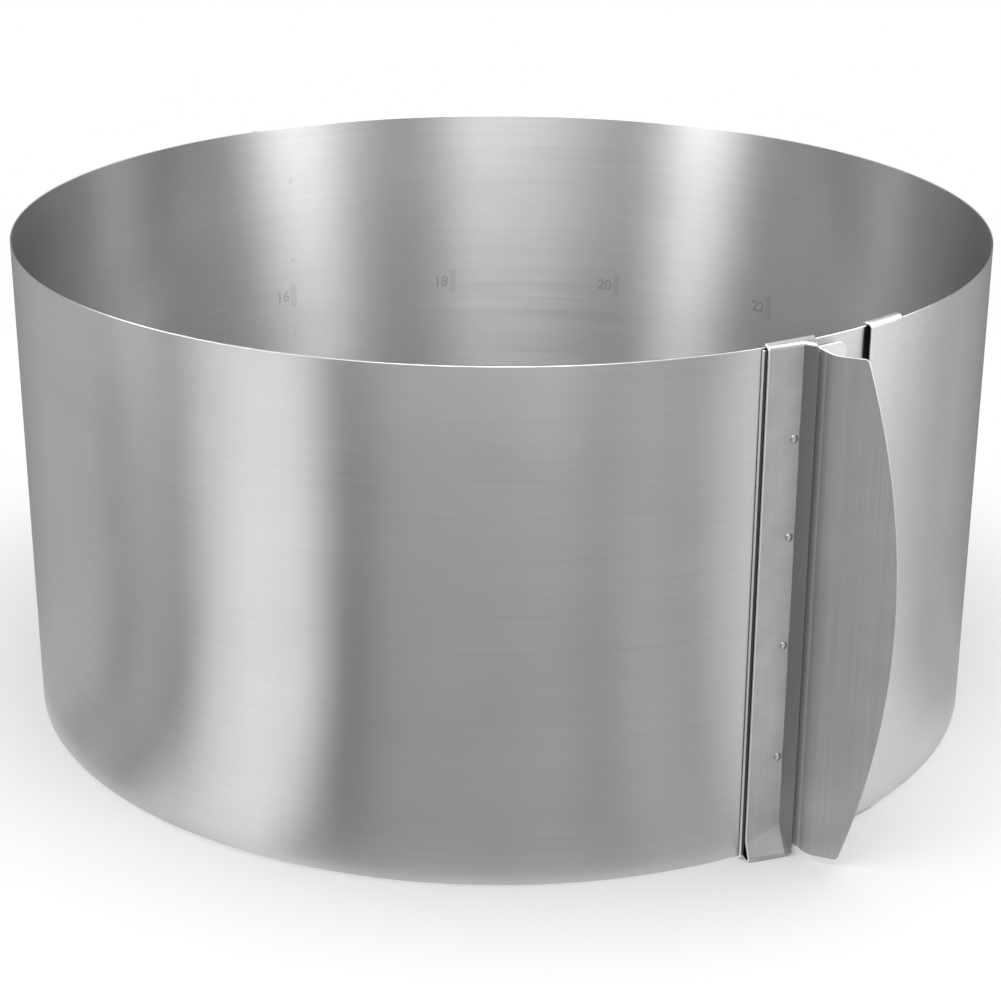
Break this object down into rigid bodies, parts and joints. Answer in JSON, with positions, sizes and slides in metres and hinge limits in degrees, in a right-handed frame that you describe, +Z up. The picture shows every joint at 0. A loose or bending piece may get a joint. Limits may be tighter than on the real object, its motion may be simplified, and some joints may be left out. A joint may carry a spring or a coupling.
{
  "type": "adjustable cake ring",
  "caption": "Tall ring of spring steel band for layered cakes; the overlapping ends slide past each other to set its diameter, with a guide bracket and two grips.",
  "frame": {"origin": "on the lower fold under the guide bracket, with X and Y at the ring's axis at its largest size", "axes": "+Z up along the ring's axis, -Y towards the front, +X to the right of someone who faces the front"},
  "size_m": [0.3008, 0.3, 0.1514],
  "materials": {
    "band_steel": "horizontally brushed stainless steel sheet",
    "guide_steel": "upright brushed stainless steel sheet, lightly rubbed",
    "grip_steel": "upright brushed stainless steel sheet with fine specks",
    "weld_steel": "small bright spot weld domes"
  },
  "bodies": {
    "section_01": {"band_01": "band_steel"},
    "section_02": {"band_02": "band_steel"},
    "section_03": {"band_03": "band_steel"},
    "section_04": {"band_04": "band_steel"},
    "section_05": {"band_05": "band_steel"},
    "section_06": {"band_06": "band_steel"},
    "section_07": {"band_07": "band_steel"},
    "section_08": {"band_08": "band_steel"},
    "section_09": {"band_09": "band_steel"},
    "section_10": {"band_10": "band_steel"},
    "section_11": {"band_11": "band_steel"},
    "section_12": {"band_12": "band_steel"},
    "section_13": {"band_13": "band_steel"},
    "section_14": {"band_14": "band_steel"},
    "section_15": {"band_15": "band_steel"},
    "section_16": {"band_16": "band_steel"},
    "section_17": {"band_17": "band_steel"},
    "section_18": {"band_18": "band_steel"},
    "section_19": {"band_19": "band_steel"},
    "section_20": {"band_20": "band_steel"},
    "section_21": {"band_21": "band_steel"},
    "section_22": {"band_22": "band_steel", "rear_grip": "grip_steel", "rear_grip_spot_weld_1": "weld_steel", "rear_grip_spot_weld_2": "weld_steel", "rear_grip_spot_weld_3": "weld_steel", "rear_grip_spot_weld_4": "weld_steel"},
    "section_23": {"band_23": "band_steel"},
    "section_24": {"band_24": "band_steel"},
    "section_25": {"band_25": "band_steel"},
    "section_26": {"band_26": "band_steel"},
    "section_27": {"band_27": "band_steel"},
    "section_28": {"band_28": "band_steel"},
    "section_29": {"band_29": "band_steel"},
    "section_30": {"band_30": "band_steel"},
    "section_31": {"band_31": "band_steel"},
    "section_32": {"band_32": "band_steel"},
    "section_33": {"band_33": "band_steel"},
    "section_34": {"band_34": "band_steel"},
    "section_35": {"band_35": "band_steel"},
    "section_36": {"band_36": "band_steel"},
    "section_37": {"band_37": "band_steel"},
    "section_38": {"band_38": "band_steel"},
    "section_39": {"band_39": "band_steel"},
    "section_40": {"band_40": "band_steel"},
    "section_41": {"band_41": "band_steel"},
    "section_42": {"band_42": "band_steel"},
    "section_43": {"band_43": "band_steel"},
    "section_44": {"band_44": "band_steel"},
    "section_45": {"band_45": "band_steel"},
    "section_46": {"band_46": "band_steel"},
    "guide": {"band_tongue": "band_steel", "guide_bracket": "guide_steel", "front_grip": "grip_steel", "bracket_spot_weld_1": "weld_steel", "bracket_spot_weld_2": "weld_steel", "bracket_spot_weld_3": "weld_steel", "bracket_spot_weld_4": "weld_steel"}
  },
  "joints": [
    {"name": "ring_size", "type": "hinge", "parent": "section_22", "child": "section_23", "pos_m": [-0.08679, 0.12209, 0], "axis": [0, 0, 1], "range_deg": [0, 6.81]},
    {"name": "bend_23", "type": "hinge", "parent": "section_23", "child": "section_24", "pos_m": [-0.10282, 0.10889, 0], "axis": [0, 0, 1], "range_deg": [0, 6.83]},
    {"name": "bend_24", "type": "hinge", "parent": "section_24", "child": "section_25", "pos_m": [-0.11686, 0.0936, 0], "axis": [0, 0, 1], "range_deg": [0, 6.84]},
    {"name": "bend_25", "type": "hinge", "parent": "section_25", "child": "section_26", "pos_m": [-0.12866, 0.07652, 0], "axis": [0, 0, 1], "range_deg": [0, 6.85]},
    {"name": "bend_26", "type": "hinge", "parent": "section_26", "child": "section_27", "pos_m": [-0.13798, 0.05796, 0], "axis": [0, 0, 1], "range_deg": [0, 6.86]},
    {"name": "bend_27", "type": "hinge", "parent": "section_27", "child": "section_28", "pos_m": [-0.14464, 0.03829, 0], "axis": [0, 0, 1], "range_deg": [0, 6.87]},
    {"name": "bend_28", "type": "hinge", "parent": "section_28", "child": "section_29", "pos_m": [-0.14851, 0.0179, 0], "axis": [0, 0, 1], "range_deg": [0, 6.88]},
    {"name": "bend_29", "type": "hinge", "parent": "section_29", "child": "section_30", "pos_m": [-0.14952, -0.00284, 0], "axis": [0, 0, 1], "range_deg": [0, 6.89]},
    {"name": "bend_30", "type": "hinge", "parent": "section_30", "child": "section_31", "pos_m": [-0.14765, -0.02352, 0], "axis": [0, 0, 1], "range_deg": [0, 6.9]},
    {"name": "bend_31", "type": "hinge", "parent": "section_31", "child": "section_32", "pos_m": [-0.14294, -0.04374, 0], "axis": [0, 0, 1], "range_deg": [0, 6.91]},
    {"name": "bend_32", "type": "hinge", "parent": "section_32", "child": "section_33", "pos_m": [-0.13546, -0.06311, 0], "axis": [0, 0, 1], "range_deg": [0, 6.92]},
    {"name": "bend_33", "type": "hinge", "parent": "section_33", "child": "section_34", "pos_m": [-0.12538, -0.08126, 0], "axis": [0, 0, 1], "range_deg": [0, 6.93]},
    {"name": "bend_34", "type": "hinge", "parent": "section_34", "child": "section_35", "pos_m": [-0.11287, -0.09784, 0], "axis": [0, 0, 1], "range_deg": [0, 6.94]},
    {"name": "bend_35", "type": "hinge", "parent": "section_35", "child": "section_36", "pos_m": [-0.09819, -0.11252, 0], "axis": [0, 0, 1], "range_deg": [0, 6.95]},
    {"name": "bend_36", "type": "hinge", "parent": "section_36", "child": "section_37", "pos_m": [-0.08161, -0.12502, 0], "axis": [0, 0, 1], "range_deg": [0, 6.96]},
    {"name": "bend_37", "type": "hinge", "parent": "section_37", "child": "section_38", "pos_m": [-0.06346, -0.13511, 0], "axis": [0, 0, 1], "range_deg": [0, 6.97]},
    {"name": "bend_38", "type": "hinge", "parent": "section_38", "child": "section_39", "pos_m": [-0.04409, -0.14257, 0], "axis": [0, 0, 1], "range_deg": [0, 6.98]},
    {"name": "bend_39", "type": "hinge", "parent": "section_39", "child": "section_40", "pos_m": [-0.02387, -0.14728, 0], "axis": [0, 0, 1], "range_deg": [0, 6.99]},
    {"name": "bend_40", "type": "hinge", "parent": "section_40", "child": "section_41", "pos_m": [-0.00318, -0.14913, 0], "axis": [0, 0, 1], "range_deg": [0, 7]},
    {"name": "bend_41", "type": "hinge", "parent": "section_41", "child": "section_42", "pos_m": [0.01755, -0.14809, 0], "axis": [0, 0, 1], "range_deg": [0, 7.01]},
    {"name": "bend_42", "type": "hinge", "parent": "section_42", "child": "section_43", "pos_m": [0.03794, -0.14418, 0], "axis": [0, 0, 1], "range_deg": [0, 7.03]},
    {"name": "bend_43", "type": "hinge", "parent": "section_43", "child": "section_44", "pos_m": [0.0576, -0.13748, 0], "axis": [0, 0, 1], "range_deg": [0, 7.04]},
    {"name": "bend_44", "type": "hinge", "parent": "section_44", "child": "section_45", "pos_m": [0.07612, -0.12811, 0], "axis": [0, 0, 1], "range_deg": [0, 7.05]},
    {"name": "bend_45", "type": "hinge", "parent": "section_45", "child": "section_46", "pos_m": [0.09317, -0.11626, 0], "axis": [0, 0, 1], "range_deg": [0, 7.06]},
    {"name": "bend_21", "type": "hinge", "parent": "section_22", "child": "section_21", "pos_m": [-0.06909, 0.13295, 0], "axis": [0, 0, -1], "range_deg": [0, 6.81]},
    {"name": "bend_20", "type": "hinge", "parent": "section_21", "child": "section_20", "pos_m": [-0.05006, 0.14126, 0], "axis": [0, 0, -1], "range_deg": [0, 6.8]},
    {"name": "bend_19", "type": "hinge", "parent": "section_20", "child": "section_19", "pos_m": [-0.03007, 0.14686, 0], "axis": [0, 0, -1], "range_deg": [0, 6.79]},
    {"name": "bend_18", "type": "hinge", "parent": "section_19", "child": "section_18", "pos_m": [-0.00949, 0.14964, 0], "axis": [0, 0, -1], "range_deg": [0, 6.78]},
    {"name": "bend_17", "type": "hinge", "parent": "section_18", "child": "section_17", "pos_m": [0.01127, 0.14955, 0], "axis": [0, 0, -1], "range_deg": [0, 6.76]},
    {"name": "bend_16", "type": "hinge", "parent": "section_17", "child": "section_16", "pos_m": [0.03182, 0.1466, 0], "axis": [0, 0, -1], "range_deg": [0, 6.75]},
    {"name": "bend_15", "type": "hinge", "parent": "section_16", "child": "section_15", "pos_m": [0.05177, 0.14083, 0], "axis": [0, 0, -1], "range_deg": [0, 6.75]},
    {"name": "bend_14", "type": "hinge", "parent": "section_15", "child": "section_14", "pos_m": [0.07073, 0.13237, 0], "axis": [0, 0, -1], "range_deg": [0, 6.74]},
    {"name": "bend_13", "type": "hinge", "parent": "section_14", "child": "section_13", "pos_m": [0.08834, 0.12137, 0], "axis": [0, 0, -1], "range_deg": [0, 6.72]},
    {"name": "bend_12", "type": "hinge", "parent": "section_13", "child": "section_12", "pos_m": [0.10427, 0.10804, 0], "axis": [0, 0, -1], "range_deg": [0, 6.71]},
    {"name": "bend_11", "type": "hinge", "parent": "section_12", "child": "section_11", "pos_m": [0.1182, 0.09265, 0], "axis": [0, 0, -1], "range_deg": [0, 6.71]},
    {"name": "bend_10", "type": "hinge", "parent": "section_11", "child": "section_10", "pos_m": [0.12988, 0.07548, 0], "axis": [0, 0, -1], "range_deg": [0, 6.7]},
    {"name": "bend_09", "type": "hinge", "parent": "section_10", "child": "section_09", "pos_m": [0.13908, 0.05687, 0], "axis": [0, 0, -1], "range_deg": [0, 6.68]},
    {"name": "bend_08", "type": "hinge", "parent": "section_09", "child": "section_08", "pos_m": [0.14563, 0.03716, 0], "axis": [0, 0, -1], "range_deg": [0, 6.67]},
    {"name": "bend_07", "type": "hinge", "parent": "section_08", "child": "section_07", "pos_m": [0.14939, 0.01674, 0], "axis": [0, 0, -1], "range_deg": [0, 6.67]},
    {"name": "bend_06", "type": "hinge", "parent": "section_07", "child": "section_06", "pos_m": [0.15031, -0.004, 0], "axis": [0, 0, -1], "range_deg": [0, 6.66]},
    {"name": "bend_05", "type": "hinge", "parent": "section_06", "child": "section_05", "pos_m": [0.14836, -0.02467, 0], "axis": [0, 0, -1], "range_deg": [0, 6.64]},
    {"name": "bend_04", "type": "hinge", "parent": "section_05", "child": "section_04", "pos_m": [0.14358, -0.04488, 0], "axis": [0, 0, -1], "range_deg": [0, 6.63]},
    {"name": "bend_03", "type": "hinge", "parent": "section_04", "child": "section_03", "pos_m": [0.13607, -0.06423, 0], "axis": [0, 0, -1], "range_deg": [0, 6.62]},
    {"name": "bend_02", "type": "hinge", "parent": "section_03", "child": "section_02", "pos_m": [0.12596, -0.08237, 0], "axis": [0, 0, -1], "range_deg": [0, 6.62]},
    {"name": "bend_01", "type": "hinge", "parent": "section_02", "child": "section_01", "pos_m": [0.11346, -0.09895, 0], "axis": [0, 0, -1], "range_deg": [0, 6.61]},
    {"name": "bend_tongue", "type": "hinge", "parent": "section_01", "child": "guide", "pos_m": [0.09951, -0.11447, 0], "axis": [0, 0, -1], "range_deg": [0, 8.41]}
  ],
  "couplings": [
    {"joint": "bend_23", "follows": "ring_size", "ratio": 1.0015},
    {"joint": "bend_24", "follows": "ring_size", "ratio": 1.003},
    {"joint": "bend_25", "follows": "ring_size", "ratio": 1.0045},
    {"joint": "bend_26", "follows": "ring_size", "ratio": 1.006},
    {"joint": "bend_27", "follows": "ring_size", "ratio": 1.0075},
    {"joint": "bend_28", "follows": "ring_size", "ratio": 1.0091},
    {"joint": "bend_29", "follows": "ring_size", "ratio": 1.0106},
    {"joint": "bend_30", "follows": "ring_size", "ratio": 1.0121},
    {"joint": "bend_31", "follows": "ring_size", "ratio": 1.0136},
    {"joint": "bend_32", "follows": "ring_size", "ratio": 1.0152},
    {"joint": "bend_33", "follows": "ring_size", "ratio": 1.0167},
    {"joint": "bend_34", "follows": "ring_size", "ratio": 1.0182},
    {"joint": "bend_35", "follows": "ring_size", "ratio": 1.0198},
    {"joint": "bend_36", "follows": "ring_size", "ratio": 1.0213},
    {"joint": "bend_37", "follows": "ring_size", "ratio": 1.0228},
    {"joint": "bend_38", "follows": "ring_size", "ratio": 1.0244},
    {"joint": "bend_39", "follows": "ring_size", "ratio": 1.0259},
    {"joint": "bend_40", "follows": "ring_size", "ratio": 1.0275},
    {"joint": "bend_41", "follows": "ring_size", "ratio": 1.029},
    {"joint": "bend_42", "follows": "ring_size", "ratio": 1.0306},
    {"joint": "bend_43", "follows": "ring_size", "ratio": 1.0322},
    {"joint": "bend_44", "follows": "ring_size", "ratio": 1.0337},
    {"joint": "bend_45", "follows": "ring_size", "ratio": 1.0353},
    {"joint": "bend_21", "follows": "ring_size", "ratio": 0.9985},
    {"joint": "bend_20", "follows": "ring_size", "ratio": 0.997},
    {"joint": "bend_19", "follows": "ring_size", "ratio": 0.99551},
    {"joint": "bend_18", "follows": "ring_size", "ratio": 0.99401},
    {"joint": "bend_17", "follows": "ring_size", "ratio": 0.99252},
    {"joint": "bend_16", "follows": "ring_size", "ratio": 0.99104},
    {"joint": "bend_15", "follows": "ring_size", "ratio": 0.98955},
    {"joint": "bend_14", "follows": "ring_size", "ratio": 0.98807},
    {"joint": "bend_13", "follows": "ring_size", "ratio": 0.98659},
    {"joint": "bend_12", "follows": "ring_size", "ratio": 0.98512},
    {"joint": "bend_11", "follows": "ring_size", "ratio": 0.98364},
    {"joint": "bend_10", "follows": "ring_size", "ratio": 0.98217},
    {"joint": "bend_09", "follows": "ring_size", "ratio": 0.98071},
    {"joint": "bend_08", "follows": "ring_size", "ratio": 0.97924},
    {"joint": "bend_07", "follows": "ring_size", "ratio": 0.97778},
    {"joint": "bend_06", "follows": "ring_size", "ratio": 0.97632},
    {"joint": "bend_05", "follows": "ring_size", "ratio": 0.97486},
    {"joint": "bend_04", "follows": "ring_size", "ratio": 0.97341},
    {"joint": "bend_03", "follows": "ring_size", "ratio": 0.97196},
    {"joint": "bend_02", "follows": "ring_size", "ratio": 0.97051},
    {"joint": "bend_01", "follows": "ring_size", "ratio": 0.96906},
    {"joint": "bend_tongue", "follows": "ring_size", "ratio": 1.2338}
  ]
}
